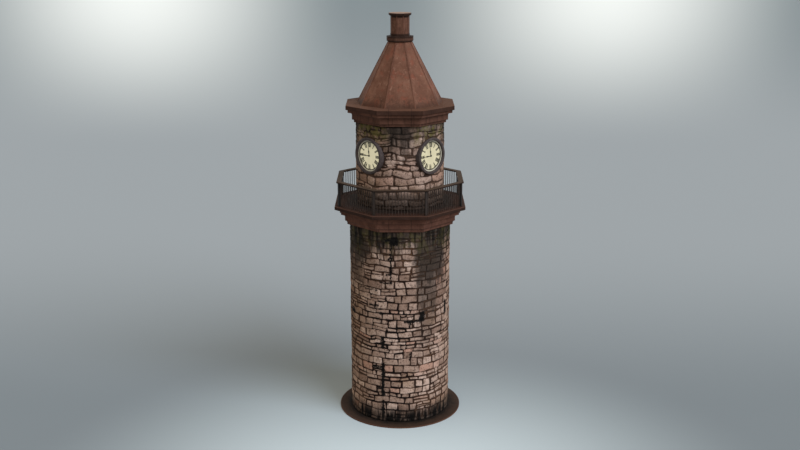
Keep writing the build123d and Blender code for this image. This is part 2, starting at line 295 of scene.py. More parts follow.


# %% [markdown]
# ## Where weather has marked the walls, and painted shade
# Rain carries soot and moss down from the ledges, and frost has opened some joints into black
# gaps. Under the eaves the clock room also gets painted shade. These marks don't follow single
# stones, so a node group works them out from the angle round the tower and the height. The stones
# and the mortar both use it, so a stain runs across both.

# %% Open joints: from angle, to angle, from height, to height
open_joints = [
    (-10, -2, 8.55, 8.95),
    (-17.5, -8, 8.72, 8.86),
    (-11.4, -9, 6.75, 8.75),
    (-13.6, -8.6, 7.88, 7.97),
    (-16.6, -8.6, 7.13, 7.23),
    (-24, -9.8, 6.74, 6.83),
    (-52, -26, 6.36, 6.42),
    (-74, -62, 4.95, 5.15),
    (-37.5, -25, 5.62, 5.72),
    (-29.5, -17, 5.28, 5.36),
    (22, 29, 4.92, 5.40),
    (4, 25, 4.90, 5.02),
    (60.5, 65, 4.90, 5.60),
    (10.4, 12.4, 4.64, 4.95),
    (-22, -17.6, 3.66, 4.27),
    (10.2, 12.6, 3.04, 3.44),
    (-21.6, -17.8, 1.30, 2.95),
    (-21.4, -17.6, 0.40, 1.10),
    (-34, -20, 2.66, 2.76),
    (-27, -19, 1.60, 1.72),
    (118, 121, 6.20, 8.60),
    (121, 134, 7.05, 7.14),
    (-152, -149.4, 2.10, 4.40),
    (-149, -132, 3.36, 3.45),
    (171, 176, 5.00, 5.60),
    (150, 171, 5.00, 5.08),
    (-112, -109.6, 5.20, 7.40),
    (92, 94.4, 1.20, 3.60),
]
print("open joints:", len(open_joints))

# %% Where the shaft is stained: from angle, to angle, down to height, how strongly
stained_sides = [
    (16, 60, 6.9, 1),
    (19, 46, 5.5, 0.75),
    (21, 38, 3.9, 0.45),
    (-88, -36, 7.7, 1),
    (-80, -46, 6.6, 0.6),
    (-162, -120, 7, 1),
    (-152, -130, 5.2, 0.6),
    (98, 142, 7.5, 1),
    (108, 130, 5.4, 0.6),
]
print("stained sides:", len(stained_sides))

# %% Start and end a group that gives a wall's marks
mark_names = ("Moss", "SootAndShade", "Black", "DampAndShade")


def start_weather(name):
    """An empty group's place, and the two noises that its marks share."""
    tree = bpy.data.node_groups.new(name, "ShaderNodeTree")
    for mark in mark_names:
        tree.interface.new_socket(mark, in_out="OUTPUT", socket_type="NodeSocketFloat")
    place = find_place(tree)
    ragged = speckle(place, 2.6, 5, 0.65)
    streaks = streaked(place, (3.4, 3.4, 0.35), 1.4, 5, 0.6)
    return place, ragged, streaks


def end_weather(tree, *marks):
    """Puts out the moss, the soot with any painted shade, the black, and how far the mortar has
    gone dark from damp or painted shade.
    """
    add_node(tree, "NodeGroupOutput", dict(zip(mark_names, marks)))
    print(tree.name, "has", len(tree.nodes), "nodes")
    return tree


# %% The shaft's marks
def shaft_weather_group():
    place, ragged, streaks = start_weather("shaft_weather")
    level = split(place).z
    height = shifted(level, streaks, 2.6)
    plain_angle = angle_round(place)
    angle = shifted(plain_angle, ragged, 26)
    moss = rise(height, 7.9, 8.8) * rise(ragged, 0.44, 0.62)

    soot_and_shade = strongest(rise(height, 7.9, 8.7), rise(level, 1, 0.2) * 0.9)
    for start, end, low, strength in stained_sides:
        reach = rise(height, low - 0.8, low + 0.3) * strength
        soot_and_shade = strongest(soot_and_shade, band(angle, start, end, 6) * reach)

    foot = rise(level, 0.20, 0.04)
    teeth = rise(level, 0.95, 0.35) * rise(streaks, 0.45, 0.53)
    runs = rise(height, 8.2, 9) * rise(streaks, 0.45, 0.56) * 0.8
    black = strongest(foot, teeth, runs)
    fine = speckle(place, 9, 3, 0.7)
    gap_angle = shifted(plain_angle, fine, 8)
    gap_height = shifted(level, fine, 0.30)
    for start, end, low, high in open_joints:
        gap = band(gap_angle, start, end, 0.5) * band(gap_height, low, high, 0.03)
        black = strongest(black, gap)

    damp = rise(folded(angle + 14, 90), 44, 20) * rise(height, 7.6, 6)
    return end_weather(place.tree, moss, soot_and_shade, black, damp)


shaft_weather = shaft_weather_group()

# %% The clock room's marks: soot runs down between the dials, moss grows over them, and shade is painted under the eaves
def room_weather_group():
    place, ragged, streaks = start_weather("room_weather")
    level = split(place).z
    height = shifted(level, streaks, 2.2)
    foot_height = shifted(level, ragged, 0.5)
    from_pier = folded(shifted(angle_round(place), ragged, 30), 45)
    over_dials = rise(from_pier, 12, 26)
    between_dials = rise(from_pier, 26, 10)

    under_eaves = rise(shifted(level, ragged, 1.6), 12.7, 13.5)
    moss = under_eaves * rise(speckle(place, 4.5, 5, 0.65), 0.44, 0.58) * over_dials
    # Painted shade: the wall is darker towards the eaves, where shade falls. It goes out with the
    # soot and as the mortar's darkening.
    shade = rise(height, 12.8, 13.8) * 0.8
    pier_soot = between_dials * rise(height, 12.1, 13.3)
    soot_and_shade = strongest(pier_soot, shade, rise(foot_height, 11.05, 10.65) * 0.78)
    deep_foot = rise(foot_height, 10.55, 10.12)
    deep_pier = between_dials * rise(height, 12.9, 14)
    black = strongest(deep_foot, deep_pier) * 0.48
    return end_weather(place.tree, moss, soot_and_shade, black, shade)


room_weather = room_weather_group()

# %% [markdown]
# ## Stone and mortar
# Field stones of one quarry share a family of colours, here pink and buff, but no two match. So
# each stone carries a number, its tone, as an attribute of its mesh, and the material turns it
# into a colour. A second attribute is 1 at the stone's edges and 0 on its face, and brings the
# dirt that gathers in the joints.

# %% Lay moss, soot with any painted shade, and black over a wall's own colour
def read_marks(tree, weather):
    group = add_node(tree, "Group", node_tree=weather)
    return {name: Value(group.outputs[name]) for name in mark_names}


def weathered(colour, marks, moss_share, soot_and_shade_share):
    return coated(
        colour,
        (marks["SootAndShade"] * soot_and_shade_share, tint(40, 34, 30)),
        (marks["Moss"] * moss_share, tint(97, 90, 47)),
        (marks["Black"], tint(13, 10, 8)),
    )


# %% Turn a stone's tone into a colour
def colour_ramp(value, stops):
    """A ramp of colours. Stops are pairs of a place from 0 to 1 and a colour."""
    made = add_node(value.tree, "ValToRGB", {"Fac": value})
    elements = made.color_ramp.elements
    while len(elements) < len(stops):
        elements.new(0.5)
    for element, (place, colour) in zip(elements, stops):
        element.position = place
        element.color = colour
    return Value(made.outputs["Color"])


# %% The stones' material
def stone_material(name, weather, stops, edge_tint, moss_share):
    material, place = start_material(name)
    tree = material.node_tree
    tone = work_out(tree, "Attribute", output="Fac", attribute_name="tone")
    edge = work_out(tree, "Attribute", output="Fac", attribute_name="edge")
    patches = speckle(place, 0.7, 3, 0.5)
    clouds = speckle(place, 4, 6, 0.65)
    hollows = speckle(place, 11, 5, 0.65)
    grain = speckle(place, 26, 5, 0.7)
    # Painted warm shade: the stones are browner on the left side and on the back right, as if lit
    # by warmer light there.
    painted_side_shade = rise(folded(angle_round(place) + 75, 90), 62, 15) * 0.5
    worn = scaled(patches, 2.4, -0.9) + clouds
    colour = blend(colour_ramp(tone, stops), rise(patches, 0.5, 0.75), tint(140, 112, 92))
    colour = blend(colour, painted_side_shade, tint(217, 196, 163), "MULTIPLY")
    colour = coated(
        colour,
        (rise(clouds, 0.45, 0.68) * 0.75, tint(110, 86, 72)),
        (rise(grain, 0.50, 0.72) * 0.5, tint(212, 186, 166)),
        (rise(hollows, 0.46, 0.36) * 0.8, tint(60, 43, 35)),
        (rise(edge * worn, 0, 0.9), edge_tint),
    )
    colour = weathered(colour, read_marks(tree, weather), moss_share, 0.9)
    return end_material(material, colour, scaled(grain, 0.2, 0.75), hollows + grain * 0.5, 0.03)


shaft_tones = [
    (0, tint(128, 102, 90)),
    (0.3, tint(156, 130, 117)),
    (0.65, tint(176, 150, 137)),
    (0.9, tint(198, 172, 159)),
    (0.97, tint(172, 134, 118)),
]
room_tones = [
    (0, tint(144, 118, 106)),
    (0.4, tint(168, 142, 130)),
    (0.8, tint(190, 165, 153)),
    (0.97, tint(170, 138, 124)),
]
shaft_stone = stone_material("shaft_stone", shaft_weather, shaft_tones, tint(58, 40, 32), 0.4)
room_stone = stone_material("room_stone", room_weather, room_tones, tint(70, 52, 43), 0.75)
print("stone materials:", shaft_stone.name, room_stone.name)

# %% The mortar's material, on the walls of the model
def mortar_material(name, weather, deep, pale):
    material, place = start_material(name)
    marks = read_marks(material.node_tree, weather)
    wide = speckle(place, 0.9, 4, 0.6)
    lumps = speckle(place, 5, 6, 0.65)
    grit = speckle(place, 70, 3, 0.6)
    colour = coated(
        deep,
        (rise(wide, 0.36, 0.60), pale),
        (rise(lumps, 0.55, 0.75), deep),
        # The damp mark darkens the mortar. On the clock room it is painted shade under the eaves.
        (marks["DampAndShade"], tint(14, 10, 8)),
    )
    colour = weathered(colour, marks, 0.3, 0.6)
    return end_material(material, colour, 0.95, lumps + grit * 0.3, 0.02)


shaft_mortar = mortar_material("shaft_mortar", shaft_weather, tint(36, 24, 17), tint(84, 60, 45))
room_mortar = mortar_material("room_mortar", room_weather, tint(48, 34, 28), tint(88, 67, 55))
finish_nodes(shaft_mortar, "shaft_wall")
finish_nodes(room_mortar, "clock_wall")

# %% [markdown]
# ## The stones
# The walls are squared rubble brought to courses: rings of roughly squared blocks, where a tall
# block may stand beside two thin ones. A texture would look flat from close by, so every stone is
# a real block. There are over a thousand, so they are copies of two blocks of a few dozen faces.
# Each copy is stretched, given crooked corners and bent round the wall, and the longer block has
# the columns that a bend needs.

# %% One block, with a loop of edges near each arris
def make_block(columns):
    """A closed block, two units long each way, with three rows of faces in front."""
    shape = bmesh.new()
    bmesh.ops.create_cube(shape, size=2)
    for axis, pieces in enumerate((columns, 2, 3)):
        runs = [(edge, edge.verts[0].co - edge.verts[1].co) for edge in shape.edges]
        along = [edge for edge, run in runs if abs(run[axis]) > 0.01]
        bmesh.ops.subdivide_edges(shape, edges=along, cuts=pieces - 1, use_grid_fill=True)
    shape.normal_update()
    back = [face for face in shape.faces if face.normal.y > 0.9]
    bmesh.ops.dissolve_faces(shape, faces=back, use_verts=True)
    data = bpy.data.meshes.new("block")
    shape.to_mesh(data)
    shape.free()
    print("faces of a block with", columns, "columns:", len(data.polygons))
    return data


short_block = make_block(3)
long_block = make_block(5)

# %% Keep the stones clear of the clock faces
shortest_stone = 0.09


def dial_offset(along, radius):
    """The angle between a point of the wall and the middle of the nearest dial."""
    turns = [along / radius - math.radians(angle + 90) for angle in dial_angles.values()]
    turns = [math.atan2(math.sin(turn), math.cos(turn)) for turn in turns]
    return min(turns, key=abs)


def clear_of_dial(along, height, radius, clear_radius):
    """Moves a point of the wall that lies inside a dial's rim outwards onto the rim's circle."""
    turn = dial_offset(along, radius)
    across = radius * math.sin(turn)
    up = height - dial_height
    away = math.hypot(across, up)
    if abs(turn) > math.pi / 4 or away == 0 or away >= clear_radius:
        return along, height
    grown = clear_radius / away
    moved = math.asin(across * grown / radius)
    return along + radius * (moved - turn), dial_height + up * grown


def cut_by_dial(place, radius, clear_radius):
    """The parts of a stone's place that lie left and right of a dial, or the place as it is."""
    start, end, low, high = place
    up = (low + high) / 2 - dial_height
    if abs(up) >= clear_radius:
        return [place]
    middle = (start + end) / 2
    dial_middle = middle - radius * dial_offset(middle, radius)
    half_cut = radius * math.asin(math.sqrt(clear_radius**2 - up**2) / radius)
    left_end = min(end, dial_middle - half_cut)
    right_start = max(start, dial_middle + half_cut)
    parts = [(start, left_end, low, high), (right_start, end, low, high)]
    return [part for part in parts if part[1] - part[0] > shortest_stone]


# %% Where the points of one stone lie, along one direction
outermost = 0.9


def spread(value, half, margin):
    """On the edge, a margin inside it, or near the middle."""
    reach = half * 0.33
    if abs(value) > outermost:
        reach = half
    elif abs(value) > 0.25:
        reach = max(half - margin, half * 0.45)
    return math.copysign(reach, value)


# %% Copy a block to one place in a wall
stone_bed = 0.03
course_edge = 0.004
noise_radius = 2.3
noise_offset = Vector((7, 3, 5))


def sway(spot, wall, manner, scale, offset=Vector()):
    """How far the wave of the courses and a stone's own wobble move a point."""
    wave = wall.sway * noise.noise(spot * scale + offset)
    return wave + manner.wobble * noise.noise(spot * 9 + offset)


def lay_stone(shape, layers, place, wall, manner):
    """Place is from, to, low and high. Manner says how proud, round and crooked a stone is."""
    start, end, low, high = place
    first = len(shape.verts)
    shape.from_mesh(long_block if end - start > manner.long_from else short_block)
    shape.verts.ensure_lookup_table()
    joint = chance.uniform(*manner.joint)
    half_length = (end - start) / 2 - joint
    half_height = (high - low) / 2 - joint
    middle = ((start + end) / 2, (low + high) / 2)
    proud = chance.uniform(*manner.proud)
    tone = chance.random()
    crook = manner.crook
    corners = {
        (side, level): (chance.uniform(-crook, crook), chance.uniform(-crook, crook))
        for side in (-1, 1)
        for level in (-1, 1)
    }
    rounding = min(manner.round, half_height * 0.5)
    for vert in shape.verts[first:]:
        x, y, z = vert.co
        across = spread(x, half_length, manner.margin)
        up = spread(z, half_height, manner.margin)
        at_side, at_level = abs(x) > outermost, abs(z) > outermost
        inset = 0
        if y > 0.5:
            out = -stone_bed
        elif y > -0.5:
            out = proud - rounding
        elif at_side or at_level:
            out = proud - rounding * 0.35
            inset = rounding * 0.35
        else:
            out = proud + chance.uniform(-0.3, 0.2) * rounding
        if at_side and at_level:
            inset += rounding * manner.corner
        across -= math.copysign(inset, x) if at_side else 0
        up -= math.copysign(inset, z) if at_level else 0
        nudge = corners[(int(math.copysign(1, x)), int(math.copysign(1, z)))]
        along = middle[0] + across + nudge[0]
        height = middle[1] + up + nudge[1]
        turn = along / wall.radius
        spot = Vector((noise_radius * math.sin(turn), -noise_radius * math.cos(turn), height))
        along += sway(spot, wall, manner, 1.1)
        height += sway(spot, wall, manner, 1.3, noise_offset)
        height = min(max(height, wall.low + course_edge), wall.high - course_edge)
        if wall.has_dials:
            along, height = clear_of_dial(along, height, wall.radius, stone_free_radius)
        turn = along / wall.radius
        reach = wall.radius + out
        vert.co = (reach * math.sin(turn), -reach * math.cos(turn), height)
        vert[layers["tone"]] = tone
        vert[layers["edge"]] = 0 if y < -0.5 and not (at_side or at_level) else 1


# %% [markdown]
# ## Courses
# Each course is a ring, most a full block high and some thin. Its length is shared out between
# blocks of different lengths, and a block may be split into thin layers or halves. The rule works
# in lengths along the wall, so the same functions serve the shaft and the clock room.

# %% Share out a length
def split_length(total, draw):
    """Lengths from the function draw, scaled until they add up to the total."""
    lengths = []
    while sum(lengths) < total:
        lengths.append(draw())
    scale = total / sum(lengths)
    return [length * scale for length in lengths]


def course_height(wall):
    is_thin = chance.random() < wall.thin_courses
    return chance.uniform(*(wall.thin_course if is_thin else wall.course))


# %% Split one block
pile_from, tall_pile_from = 0.22, 0.33
layer_cut_from, half_cut_from = 0.42, 0.5


def split_block(start, end, low, high, wall):
    """One block becomes one stone, a pile of thin ones, or two halves."""
    draw = chance.random()
    if draw < wall.piles and high - low > pile_from:
        cuts = [0, chance.uniform(0.36, 0.64), 1]
        if high - low > tall_pile_from and chance.random() < 0.3:
            cuts = [0, chance.uniform(0.28, 0.38), chance.uniform(0.6, 0.72), 1]
        pile = []
        for lower, upper in zip(cuts, cuts[1:]):
            bottom, top = low + (high - low) * lower, low + (high - low) * upper
            if chance.random() < 0.45 and end - start > layer_cut_from:
                cut = start + (end - start) * chance.uniform(0.35, 0.65)
                pile += [(start, cut, bottom, top), (cut, end, bottom, top)]
            else:
                pile.append((start, end, bottom, top))
        return pile
    if draw < wall.piles + wall.halves and end - start > half_cut_from:
        cut = start + (end - start) * chance.uniform(0.3, 0.7)
        return [(start, cut, low, high), (cut, end, low, high)]
    return [(start, end, low, high)]


# %% The places of all the stones of a wall
def lay_wall(wall):
    places = []
    around = 2 * math.pi * wall.radius
    low = wall.low
    for height in split_length(wall.high - wall.low, lambda: course_height(wall)):
        start = chance.uniform(0, around)
        for length in split_length(around, lambda: chance.uniform(*wall.length)):
            places += split_block(start, start + length, low, low + height, wall)
            start += length
        low += height
    return places


# %% [markdown]
# ## Laying the two walls
# A thousand stones in one mesh are hard to handle, and a mesh for each stone is too many, so they
# are gathered in eighths that match the model's wall pieces. The blocks they are copied from face
# outwards already, and are left so: the operator that turns faces can guess wrong on a thin stone.

# %% Which eighth of the wall a stone belongs to
def eighth_of(along, radius):
    turn = math.degrees(along / radius) - 90
    return min(side_angles, key=lambda side: abs((turn - side_angles[side] + 180) % 360 - 180))


# %% Build the eighths of one wall
def build_wall(name, wall, manner, material):
    shapes, layers = {}, {}
    for side in side_angles:
        shape = bmesh.new()
        shapes[side] = shape
        layers[side] = {word: shape.verts.layers.float.new(word) for word in ("tone", "edge")}
    places = lay_wall(wall)
    if wall.has_dials:
        cut = [cut_by_dial(place, wall.radius, stone_free_radius) for place in places]
        places = [part for parts in cut for part in parts]
    for place in places:
        side = eighth_of((place[0] + place[1]) / 2, wall.radius)
        lay_stone(shapes[side], layers[side], place, wall, manner)
    for side, shape in shapes.items():
        piece = f"{name}_{side}"
        add_piece(piece, shape, material, "tower", True, face_outwards=False)
    print(name, "has", len(places), "stones")


# %% The shaft
shaft_wall = SimpleNamespace(
    radius=shaft_radius,
    low=shaft_low.z,
    high=shaft_high.z,
    course=(0.27, 0.38),
    thin_course=(0.15, 0.21),
    thin_courses=0.3,
    length=(0.34, 0.80),
    piles=0.17,
    halves=0.10,
    sway=0.075,
    has_dials=False,
)
shaft_manner = SimpleNamespace(
    joint=(0.002, 0.022),
    proud=(0.014, 0.038),
    round=0.026,
    margin=0.045,
    corner=0.6,
    crook=0.026,
    wobble=0.024,
    long_from=0.60,
)
build_wall("shaft_stones", shaft_wall, shaft_manner, shaft_stone)

# %% The clock room, in longer and rounder stones
stone_free_radius = rim_radius - 0.03
room_wall = SimpleNamespace(
    radius=room_radius,
    low=room_low.z,
    high=room_high.z,
    course=(0.30, 0.42),
    thin_course=(0.20, 0.26),
    thin_courses=0.25,
    length=(0.40, 1.05),
    piles=0.14,
    halves=0.16,
    sway=0.11,
    has_dials=True,
)
room_manner = SimpleNamespace(
    joint=(0.000, 0.008),
    proud=(0.018, 0.040),
    round=0.038,
    margin=0.055,
    corner=1.1,
    crook=0.030,
    wobble=0.030,
    long_from=0.52,
)
build_wall("room_stones", room_wall, room_manner, room_stone)

# %% [markdown]
# ## Parts that follow the octagon
# The grain, joints and worn edges of the cornices, the deck and the handrail follow their eight
# sides. The materials need two lengths: how far out a point is, square to its side, and how far
# along that side. Turning every point back to the front by the angle of its side gives both.

# %% Lengths square to and along the nearest side
Side = namedtuple("Side", "out along turned")


def nearest_side(place, sides=8):
    """Out from the axis, along the side from its middle, and the point turned to the front."""
    step = 360 / sides
    turn = calculate("ROUND", angle_round(place) / step) * step
    sockets = {"Vector": place, "Angle": turn * (-math.pi / 180)}
    turned = work_out(place.tree, "VectorRotate", sockets, rotation_type="Z_AXIS")
    front = split(turned)
    return Side(front.y * -1, front.x, turned)


def from_corner(side, sides=8):
    """How far a point is from the nearer end of its side."""
    return side.out * math.tan(math.pi / sides) - abs(side.along)


def looking_up(tree):
    """1 on a face that looks up, 0 on an upright face or an underside."""
    normal = work_out(tree, "NewGeometry", output="Normal")
    return rise(split(normal).z, 0.15, 0.75)


# %% [markdown]
# ## Red-brown cornices
# The mouldings are of red sandstone. The eaves' uppermost upright face is painted almost black as
# shade, and dust lies on every top, so the material asks which way a face looks. The joints of a
# course are fine lines, so the material draws them.

# %% The cornices' material
half_block = 0.49


def cornice_material(name, dark, pale, dusty, painted_shade_from=None):
    """Above the given height, the upright faces are painted almost black, as shade."""
    material, place = start_material(name)
    side = nearest_side(place)
    up = looking_up(place.tree)
    clouds = speckle(place, 1.6, 6, 0.6)
    grain = speckle(place, 22, 5, 0.7)
    streaks = streaked(side.turned, (5, 5, 0.8), 1.6, 5, 0.6)
    colour = coated(
        dark,
        (rise(clouds, 0.35, 0.7), pale),
        (rise(streaks, 0.5, 0.8), tint(44, 28, 22)),
        (rise(grain, 0.55, 0.8) * 0.5, dusty),
        (up * rise(clouds, 0.25, 0.6), dusty),
    )
    if painted_shade_from is not None:
        # Painted shade: above that height the upright faces are darkened, and the tops are not.
        above = rise(split(place).z, painted_shade_from - 0.005, painted_shade_from + 0.005)
        colour = blend(colour, above * scaled(up, -0.62, 0.62), tint(34, 21, 16))
    joint = rise(folded(side.along + half_block, half_block), 0.012, 0.004)
    colour = blend(colour, joint * 0.7, tint(30, 20, 16))
    return end_material(material, colour, scaled(grain, 0.2, 0.72), grain - joint, 0.012)


eaves_slab_thickness = 0.184
slab_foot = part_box("eaves_cornice")[1].z - eaves_slab_thickness
balcony_tints = tint(84, 55, 45), tint(104, 70, 58), tint(112, 79, 66)
eaves_tints = tint(78, 52, 42), tint(100, 68, 56), tint(94, 65, 51)
balcony_stone = cornice_material("balcony_stone", *balcony_tints)
eaves_stone = cornice_material("eaves_stone", *eaves_tints, slab_foot)
finish_nodes(balcony_stone, "balcony_bed_mould", "balcony_cornice")
finish_nodes(eaves_stone, "eaves")

# %% [markdown]
# ## The deck and the base
# Both are trodden stone. The deck is black with soot near the wall, where rain doesn't reach it,
# and red-brown at its edge. The base disc is dark brown all round, with black soot washed down to
# the foot of the shaft. Both have a painted highlight, a paler line along the upper edge.

# %% The deck's material
def deck_material():
    material, place = start_material("deck_slab")
    out = nearest_side(place).out
    clouds = speckle(place, 2.4, 6, 0.65)
    grain = speckle(place, 26, 5, 0.7)
    outer = rise(shifted(out, clouds, 0.5), 2.22, 2.55)
    # Painted highlight: a paler line along the deck's upper edge.
    painted_edge_highlight = rise(out, 2.90, 2.925) * rise(split(place).z, 10.02, 10.045)
    tread = coated(tint(40, 31, 27), (outer, tint(64, 42, 34)))
    colour = coated(
        tint(42, 27, 21),
        (rise(clouds, 0.35, 0.7), tint(55, 36, 29)),
        (looking_up(place.tree), tread),
        (rise(grain, 0.55, 0.8) * 0.35, tint(88, 62, 51)),
        (painted_edge_highlight * 0.5, tint(104, 74, 61)),
    )
    return end_material(material, colour, scaled(grain, 0.2, 0.7), grain, 0.012)


finish_nodes(deck_material(), "balcony_deck")

# %% How far a point is from the middle of a circle
def flat_length(x, y):
    """X and y are counted from the middle, in the circle's own plane."""
    flat = work_out(x.tree, "CombineXYZ", {"X": x, "Y": y})
    return work_out(x.tree, "VectorMath", {0: flat}, "Value", operation="LENGTH")


# %% The base disc's material
def base_material():
    material, place = start_material("base_slab")
    point = split(place)
    away = flat_length(point.x, point.y)
    clouds = speckle(place, 1.8, 6, 0.65)
    grain = speckle(place, 26, 5, 0.7)
    colour = coated(
        tint(24, 19, 16),
        (rise(shifted(away, clouds, 0.7), 2.25, 2.7), tint(58, 43, 35)),
        (rise(grain, 0.52, 0.8) * 0.5, tint(80, 60, 48)),
        # Painted highlight: a paler line along the disc's upper edge.
        (rise(away, 2.80, 2.845) * 0.6, tint(98, 66, 52)),
    )
    return end_material(material, colour, scaled(grain, 0.2, 0.72), grain, 0.012)


finish_nodes(base_material(), "base_disc")

# %% [markdown]
# ## Railing
# The fence is wrought iron: grey bars under a broad weathered board, with near-black corner posts.
# Paint that has stood outside is never one colour, so it has chalky patches and a little rust.

# %% The bars' and posts' material
def iron_material(name, main, chalk, rust_share, exposed=None):
    """Exposed is the colour that the paint has faded to at the front and the back of the tower."""
    material, place = start_material(name)
    patches = speckle(place, 7, 5, 0.6)
    flakes = speckle(place, 45, 4, 0.65)
    colour = coated(main, (rise(patches, 0.4, 0.7), chalk))
    if exposed is not None:
        faded = rise(abs(split(place).y), 1.6, 2.4)
        colour = blend(colour, faded, exposed)
    colour = blend(colour, rise(flakes, 0.52, 0.66) * rust_share, tint(96, 58, 40))
    return end_material(material, colour, scaled(flakes, 0.3, 0.45), flakes, 0.003, shine=0.3)


post_tints = tint(17, 16, 15), tint(31, 29, 27)
fence_iron = iron_material("fence_iron", tint(44, 36, 31), tint(66, 56, 49), 0.5)
post_iron = iron_material("corner_post_iron", *post_tints, 0.4, tint(39, 32, 28))
finish_nodes(fence_iron, "railing")
finish_nodes(post_iron, "rail_posts")

# %% The handrail's material: a grey board whose grain follows each side, and painted shade on the faces that don't look up
def handrail_material():
    material, place = start_material("handrail_board")
    side = nearest_side(place)
    grain = streaked(side.turned, (1.2, 22, 22), 3, 6, 0.65, 0.4)
    patches = speckle(place, 3, 5, 0.6)
    mitre = rise(from_corner(side), 0.010, 0.003)
    board = coated(
        tint(54, 41, 32),
        (rise(grain, 0.35, 0.65), tint(86, 69, 55)),
        (rise(patches, 0.5, 0.75), tint(76, 59, 48)),
    )
    top = looking_up(place.tree)
    # Painted shade: the faces that don't look up are dark, and only the top shows the board.
    colour = coated(tint(42, 31, 26), (top, board), (mitre, tint(30, 22, 18)))
    return end_material(material, colour, scaled(grain, 0.25, 0.6), grain - mitre, 0.004)


finish_nodes(handrail_material(), "handrail")

# %% [markdown]
# ## The roof
# The spire is covered in painted sheet that has weathered to a mottled red-brown. Only the hips
# show as lines, because there a rolled cap covers the seam of two faces. The mottling comes from
# noise at several sizes, and the dark along each hip from how far a point is from it.

# %% Measure the spire's corners
roof_low, roof_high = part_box("roof")
near_enough = 0.001


def corners_at(node, height):
    """The outermost corners of a node at one height, and how far they are from the axis."""
    points = [vert.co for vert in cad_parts[node].data.vertices]
    level = [point for point in points if abs(point.z - height) < near_enough]
    reach = max(math.hypot(point.x, point.y) for point in level)
    least = reach - near_enough
    return [point for point in level if math.hypot(point.x, point.y) > least], reach


foot_corners, foot_reach = corners_at("roof", roof_low.z)
head_reach = corners_at("roof", roof_high.z)[1]
drum_reach = corners_at("finial_drum", drum_high.z)[1]
turns = [math.degrees(math.atan2(point.y, point.x)) for point in foot_corners]
corner_angles = sorted({round(turn, 1) for turn in turns})
roof_sides = len(corner_angles)
print(roof_sides, "hips run from", round(foot_reach, 3), "to", round(head_reach, 3))

# %% The roof's material
def roof_material():
    material, place = start_material("roof_sheet")
    height = split(place).z
    side = nearest_side(place, roof_sides)
    clouds = speckle(place, 1.3, 6, 0.6)
    mottle = speckle(place, 6, 6, 0.65)
    grain = speckle(place, 40, 4, 0.7)
    rusty = speckle(place, 2.3, 4, 0.7)
    streaks = streaked(side.turned, (6, 6, 0.7), 1.4, 5, 0.6)
    near_hip = rise(from_corner(side, roof_sides), 0.12, 0) * rise(height, 14.8, 15.8) * 0.4
    splashed = rise(height, 15.3, 14.6) * rise(mottle, 0.42, 0.58)
    at_foot = rise(shifted(height, mottle, 0.3), 14.85, 14.60)
    colour = coated(
        tint(102, 68, 54),
        (rise(clouds, 0.35, 0.68), tint(125, 88, 72)),
        (rise(rusty, 0.52, 0.66) * 0.6, tint(126, 72, 56)),
        (rise(mottle, 0.54, 0.76), tint(142, 106, 90)),
        (rise(grain, 0.56, 0.76), tint(84, 56, 45)),
        (rise(streaks, 0.52, 0.85), tint(76, 47, 35)),
        (near_hip, tint(70, 44, 33)),
        (strongest(splashed, at_foot) * 0.65, tint(52, 35, 27)),
    )
    rough = scaled(grain, 0.25, 0.6)
    return end_material(material, colour, rough, mottle + grain * 0.3, 0.008)


finish_nodes(roof_material(), "roof")

# %% The finial's material: soot in its angles and under its ledges, soot and painted shade under the cap, and painted light on the cap's top
def finial_material():
    material, place = start_material("finial_sheet")
    foot, head = drum_low.z, drum_high.z
    height = split(place).z
    side = nearest_side(place, roof_sides)
    mottle = speckle(place, 7, 6, 0.65)
    streaks = streaked(side.turned, (9, 9, 0.9), 1.6, 5, 0.6)
    near_corner = rise(from_corner(side, roof_sides), 0.05, 0.01) * 0.6
    at_foot = rise(height, foot + 0.14, foot + 0.08)
    on_collar = band(height, foot - 0.17, foot - 0.07, 0.02)
    low_soot = scaled(on_collar, -0.5, at_foot) * 0.85
    # Soot and painted shade under the cap's ledge.
    under_cap_soot_and_shade = rise(height, head - 0.11, head - 0.06) * 0.9
    # Painted light: the cap's top is paler, as if lit from above.
    painted_cap_light = looking_up(place.tree) * rise(height, head, head + 0.04)
    colour = coated(
        tint(88, 58, 46),
        (rise(mottle, 0.35, 0.7), tint(112, 79, 64)),
        (rise(streaks, 0.5, 0.75), tint(58, 37, 28)),
        (strongest(near_corner, low_soot, under_cap_soot_and_shade), tint(36, 24, 19)),
        (painted_cap_light, tint(150, 124, 110)),
    )
    return end_material(material, colour, scaled(mottle, 0.25, 0.6), mottle, 0.006)


finish_nodes(finial_material(), "finial")

# %% The hips' material
def hip_material():
    material, place = start_material("hip_sheet")
    mottle = speckle(place, 8, 6, 0.65)
    dusted = rise(shifted(split(place).z, mottle, 0.8), 15.9, 15)
    colour = coated(
        tint(88, 57, 45),
        (rise(mottle, 0.35, 0.7), tint(108, 72, 58)),
        (dusted, tint(104, 70, 56)),
    )
    return end_material(material, colour, 0.7, mottle, 0.004)


hip_sheet = hip_material()
print("the hips' material:", hip_sheet.name)

# %% [markdown]
# ## Hip rolls
# A hip roll is a strip of sheet dressed over a round batten, with a flat wing on each face. Each
# is made upright from a circle that is drawn out and two thin bars, then leaned and turned into
# place. Smaller ones cover the corners of the finial's drum.

# %% One upright roll with two wings
sheet, wing_lift = 0.006, 0.002


